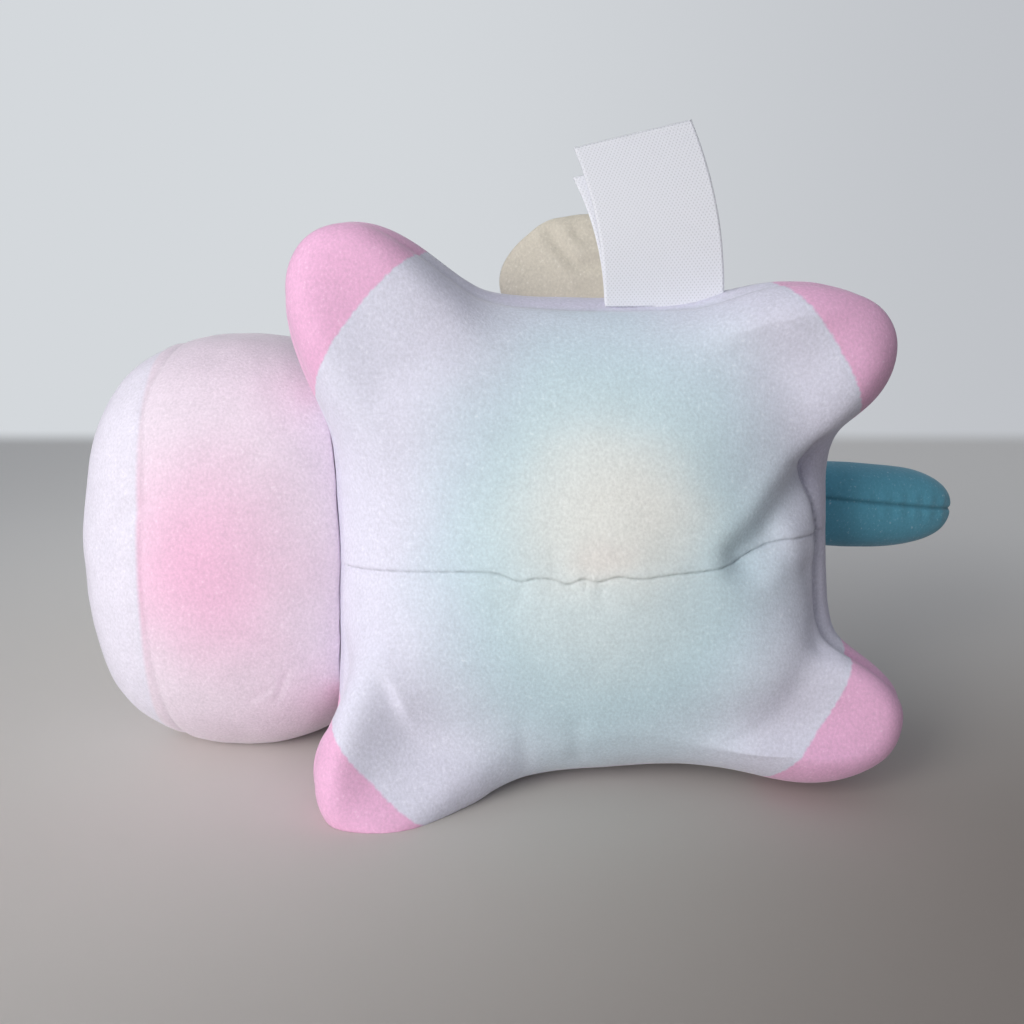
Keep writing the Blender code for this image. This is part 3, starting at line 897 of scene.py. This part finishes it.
cage = pillow_cage(tail_plan, tail_side_power, 1)
fit(cage, (-tail_length, -tail_width / 2, -tail_depth / 2), (0.0, tail_width / 2, tail_depth / 2))
tail_form = subdivided(cage, 6)
cage.free()
raise_surface(tail_form, tail_relief)
place = Matrix.Translation(tail_root) @ Matrix.Rotation(math.radians(tail_droop), 4, "Z")
place = place @ Matrix.Rotation(math.radians(tail_curl), 4, "Y")
bmesh.ops.transform(tail_form, matrix=place, verts=tail_form.verts)
seat(tail_form, place @ Vector((-tail_length * 0.75, 0.0, 0.0)), body_tree)
lay_on_table(tail_form)
tail = add_piece("stuffed_tail", tail_form, plush("tail plush", plain_dye(tail_teal)), "tail_plush", "tail")


# Label
# Two plies of white woven ribbon caught together in the side seam behind the left flank, left blank.
# The front ply is the longer; both bow towards the viewer and twist a little towards their ends.
label_width = 19.0 * mm
label_length = 29.2 * mm
label_ply_length = 24.0 * mm
# each ply's node, length, sway at its end, and how far it lies behind
label_plies = (
    ("care_label", label_length, 5.0 * mm, 0.0),
    ("care_label_ply", label_ply_length, 7.6 * mm, 1.3 * mm),
)
label_back = 12.6 * mm
label_sink = 3.0 * mm
label_cut = 1.6 * mm
label_forward = 3.4 * mm
label_back_lean = 0.5 * mm
label_bow = 4.0 * mm
label_turn = 14.0
label_twist = -4.0
ribbon_thickness = 0.25 * mm
ribbon_white = (240, 241, 248)
weft_pitch = 0.60 * mm
warp_pitch = 0.78 * mm
weave_depth = 0.1 * mm


def ribbon(name, colour):
    """White polyester ribbon woven in a fine diamond twill, with a faint shine along its floats."""
    material = bpy.data.materials.new(name)
    material.use_nodes = True
    tree = material.node_tree
    shader = tree.nodes["Principled BSDF"]
    place = put(tree, "UVMap", {"uv_map": "weave"}, {}).outputs["UV"]
    axes = put(tree, "SeparateXYZ", {}, {0: place})
    waves = []
    for axis, pitch in (("X", weft_pitch), ("Y", warp_pitch)):
        turns = put(tree, "Math", {"operation": "MULTIPLY"}, {0: axes.outputs[axis], 1: math.tau / pitch})
        waves.append(put(tree, "Math", {"operation": "COSINE"}, {0: turns.outputs[0]}).outputs[0])
    dots = put(tree, "Math", {"operation": "MULTIPLY"}, {0: waves[0], 1: waves[1]}).outputs[0]
    weave = fade(tree, dots, 0.35, 1.0)
    darker = tuple(c * 0.9 for c in colour)
    shade = blend_colours(tree, weave, linear(colour), linear(darker))
    tree.links.new(shade, shader.inputs["Base Color"])
    bump = put(tree, "Bump", {"invert": True}, {"Strength": 0.35, "Distance": weave_depth, "Height": weave})
    tree.links.new(bump.outputs["Normal"], shader.inputs["Normal"])
    shader.inputs["Roughness"].default_value = 0.55
    shader.inputs["Sheen Weight"].default_value = 0.15
    return material


label_ribbon = ribbon("label ribbon", ribbon_white)
seam_side = body_width / 2 - body_sag - label_sink
for name, length, sway, behind in label_plies:
    label_form = bmesh.new()
    bmesh.ops.create_grid(label_form, x_segments=48, y_segments=72, size=0.5, calc_uvs=True)
    weave = label_form.loops.layers.uv.new("weave")
    for face in label_form.faces:
        for loop in face.loops:
            loop[weave].uv = (loop.vert.co.x * label_width, loop.vert.co.y * length)
    for point in label_form.verts:
        height = (point.co.y + 0.5) * length
        share = height / label_length
        across = point.co.x * label_width
        twist = math.radians(label_twist) * share
        point.co = Vector((
            across * math.cos(twist) + sway * share ** 2 - label_back,
            seam_side + height - across * math.sin(math.radians(label_turn) * share),
            behind - label_bow * math.sin(math.pi * share) - label_forward * (1.0 - share) ** 2
            + label_back_lean * share ** 3 + across * math.sin(twist),
        ))
    bmesh.ops.bisect_plane(label_form, geom=label_form.verts[:] + label_form.edges[:] + label_form.faces[:],
                           plane_co=(0.0, seam_side + label_cut, 0.0), plane_no=(0.0, 1.0, 0.0),
                           clear_inner=True)
    lay_on_table(label_form)
    label = add_piece("woven_" + name, label_form, label_ribbon, "label_ribbon", name)
    cloth = label.modifiers.new("ribbon thickness", "SOLIDIFY")
    cloth.thickness = ribbon_thickness
    cloth.offset = 0.0


# Face
# Two closed eyes, a nose and a mouth in dark satin stitch, each a bed of short threads laid side
# by side. They are embroidered on the face panel before the head is sewn.
eye_side = 18.5 * mm
eye_rise = 4.0 * mm
eye_radius = 5.5 * mm
eye_line = 1.3 * mm
eye_sweep = 150.0
nose_width = 5.6 * mm
nose_height = 3.8 * mm
nose_rise = 3.0 * mm
mouth_radius = 3.6 * mm
mouth_line = 1.0 * mm
mouth_sweep = 120.0
mouth_rise = 1.8 * mm
stitch_width = 0.36 * mm
stitch_height = 0.5 * mm
thread_plum = (84, 66, 88)
thread = satin("face thread", thread_plum, 0.12 * mm, 0.45)


def onto_face(form, side, rise):
    """Lay a flat stitched shape, whose z is its height, on the front of the head."""
    for point in form.verts:
        start = Vector((head_middle.x + head_length, head_middle.y + side + point.co.x,
                        head_middle.z + rise + point.co.y))
        spot, facing, _, _ = head_tree.ray_cast(start, Vector((-1.0, 0.0, 0.0)))
        point.co = spot + facing * (0.15 * mm + point.co.z)


def stitched_arc(name, node_name, radius, line, sweep, side, rise):
    """An arc open at the top, filled with threads that cross it."""
    form = bmesh.new()
    threads = round(radius * math.radians(sweep) / stitch_width)
    bmesh.ops.create_grid(form, x_segments=threads * 6, y_segments=8, size=0.5)
    for point in form.verts:
        angle = math.radians(-90.0 + sweep * point.co.x)
        crown_shape = math.sqrt(max(0.0, 1.0 - (2.0 * point.co.y) ** 2))
        ridge = 0.75 + 0.25 * abs(math.cos(math.pi * threads * (point.co.x + 0.5)))
        reach = radius + line * point.co.y
        height = stitch_height * crown_shape * ridge
        point.co = Vector((reach * math.cos(angle), reach * math.sin(angle), height))
    onto_face(form, side, rise)
    bmesh.ops.recalc_face_normals(form, faces=form.faces)
    lay_on_table(form)
    return add_piece(name, form, thread, "face_thread", node_name)


for node_name, side in (("eye_left", 1), ("eye_right", -1)):
    stitched_arc("stitched_" + node_name, node_name, eye_radius, eye_line, eye_sweep,
                 side * eye_side, eye_rise + eye_radius / 2)
stitched_arc("stitched_mouth", "mouth", mouth_radius, mouth_line, mouth_sweep, 0.0, mouth_rise)

nose_form = bmesh.new()
bmesh.ops.create_grid(nose_form, x_segments=96, y_segments=24, size=0.5)
nose_threads = round(nose_width / stitch_width)
for point in nose_form.verts:
    across = 2.0 * point.co.x
    up = 2.0 * point.co.y * math.sqrt(max(0.0, 1.0 - across ** 2))
    ridge = 0.75 + 0.25 * abs(math.cos(math.pi * nose_threads * (point.co.x + 0.5)))
    height = stitch_height * ridge * math.sqrt(max(0.0, 1.0 - across ** 2 - up ** 2))
    point.co = Vector((across * nose_width / 2, up * nose_height / 2, height))
bmesh.ops.remove_doubles(nose_form, verts=nose_form.verts, dist=0.001 * mm)
onto_face(nose_form, 0.0, nose_rise)
bmesh.ops.recalc_face_normals(nose_form, faces=nose_form.faces)
lay_on_table(nose_form)
add_piece("stitched_nose", nose_form, thread, "face_thread", "nose")


# Floor and light
# A pale grey table top that turns into the wall's paler grey behind the toy, and soft light from
# the left front, as from a window.
table_left = (216, 212, 206)
table_right_painted_shade = (164, 155, 148)
table_far_painted_light = (250, 248, 244)
# the wall is a painted glow that only the lens and reflections see, with painted shade darkening it towards
# the right of the view
wall_left = (212, 216, 220)
wall_right = (191, 194, 199)
table_end = 335 * mm
table_end_blur = 22 * mm
# the table's colour is painted with shade that darkens it from left to right, where x less this share of y
# grows, and with light that pales it into the distance
table_slant = 0.6
table_across = (-60 * mm, 110 * mm)
table_away = (-50 * mm, 180 * mm)
floor_size = 8.0
# the view's left and right edges, as sideways over forward from the lens
view_edges = (-0.15, 0.45)
room_white = (236, 240, 248)
room_light = 0.49
room_less_from_right = 0.26
room_less_from_above = 0.08
window_place = (-0.225, -0.255, 0.165)
window_target = (-0.065, 0.0, 0.066)
window_size = 0.27
window_spread = 58.0
window_power = 0.190
window_colour = (1.0, 0.985, 0.965)


def across_view(tree, direction):
    """Nothing at the left edge of the view and one at its right edge, for a direction from the lens."""
    parts = put(tree, "SeparateXYZ", {}, {0: direction})
    slope = put(tree, "Math", {"operation": "DIVIDE"}, {0: parts.outputs["X"], 1: parts.outputs["Y"]})
    return fade(tree, slope.outputs[0], *view_edges)


def seen_directly(tree):
    """One for the rays that show the surroundings themselves or their reflection."""
    ray = put(tree, "LightPath", {}, {})
    seen = put(tree, "Math", {"operation": "MAXIMUM"}, {
        0: ray.outputs["Is Camera Ray"], 1: ray.outputs["Is Glossy Ray"]
    }).outputs[0]
    return put(tree, "Math", {"operation": "MAXIMUM"}, {
        0: seen, 1: ray.outputs["Is Transmission Ray"]
    }).outputs[0]


floor_mesh = bpy.data.meshes.new("floor")
floor_form = bmesh.new()
bmesh.ops.create_grid(floor_form, x_segments=1, y_segments=1, size=floor_size / 2)
floor_form.to_mesh(floor_mesh)
floor_form.free()
floor = bpy.data.objects.new("floor", floor_mesh)
bpy.context.scene.collection.objects.link(floor)

floor_material = bpy.data.materials.new("table top")
floor_material.use_nodes = True
floor_mesh.materials.append(floor_material)
tree = floor_material.node_tree
shader = tree.nodes["Principled BSDF"]
place = put(tree, "TexCoord", {}, {}).outputs["Object"]
from_lens = put(tree, "VectorMath", {"operation": "SUBTRACT"}, {0: place, 1: camera_place}).outputs[0]
along_table = put(tree, "SeparateXYZ", {}, {0: place})
to_right = put(tree, "Math", {"operation": "MULTIPLY_ADD"}, {
    0: along_table.outputs["Y"], 1: -table_slant, 2: along_table.outputs["X"]
}).outputs[0]
# painted shade towards the near right, then painted light into the distance
near = blend_colours(tree, fade(tree, to_right, *table_across), linear(table_left), linear(table_right_painted_shade))
tone = fade(tree, along_table.outputs["Y"], *table_away)
tree.links.new(blend_colours(tree, tone, near, linear(table_far_painted_light)), shader.inputs["Base Color"])
shader.inputs["Roughness"].default_value = 0.7
shader.inputs["Specular IOR Level"].default_value = 0.2
# past the table's end the lens sees the painted wall: a glow, darker to the right as painted shade
wall_shade = blend_colours(tree, across_view(tree, from_lens), linear(wall_left), linear(wall_right))
wall = put(tree, "Emission", {}, {"Color": wall_shade, "Strength": 1.0})
beyond = fade(tree, along_table.outputs["Y"], table_end - table_end_blur, table_end + table_end_blur)
shown = put(tree, "Math", {"operation": "MULTIPLY"}, {0: beyond, 1: seen_directly(tree)}).outputs[0]
both = put(tree, "MixShader", {}, {0: shown, 1: shader.outputs[0], 2: wall.outputs[0]})
tree.links.new(both.outputs[0], tree.nodes["Material Output"].inputs["Surface"])

world = bpy.data.worlds.new("room")
bpy.context.scene.world = world
world.use_nodes = True
tree = world.node_tree
tree.nodes.clear()
direction = put(tree, "TexCoord", {}, {}).outputs["Generated"]
# the wall as the lens sees it: a painted backdrop with painted shade towards the right
shade = blend_colours(tree, across_view(tree, direction), linear(wall_left), linear(wall_right))
axes = put(tree, "SeparateXYZ", {}, {0: direction})
from_above = fade(tree, axes.outputs["Z"], 0.0, 0.9)
from_right = fade(tree, axes.outputs["X"], 0.0, 0.9)
dimmer = put(tree, "Math", {"operation": "MULTIPLY_ADD"}, {
    0: from_right, 1: -room_less_from_right, 2: room_light
}).outputs[0]
strength = put(tree, "Math", {"operation": "MULTIPLY_ADD"}, {
    0: from_above, 1: -room_less_from_above, 2: dimmer
}).outputs[0]
fill = put(tree, "Background", {}, {"Color": linear(room_white), "Strength": strength})
wall = put(tree, "Background", {}, {"Color": shade, "Strength": 1.0})
both = put(tree, "MixShader", {}, {0: seen_directly(tree), 1: fill.outputs[0], 2: wall.outputs[0]})
out = tree.nodes.new("ShaderNodeOutputWorld")
tree.links.new(both.outputs[0], out.inputs["Surface"])


def lamp(name, place, target, size, spread, power, colour):
    """A soft square lamp at a place, turned to a target, that dims away from it."""
    light = bpy.data.lights.new(name, "AREA")
    light.size = size
    light.spread = math.radians(spread)
    light.energy = power
    light.color = colour
    holder = bpy.data.objects.new(name, light)
    holder.location = place
    holder.rotation_euler = (Vector(target) - Vector(place)).to_track_quat("-Z", "Y").to_euler()
    bpy.context.scene.collection.objects.link(holder)


lamp("window", window_place, window_target, window_size, window_spread, window_power, window_colour)
bpy.context.scene.view_settings.view_transform = "Standard"
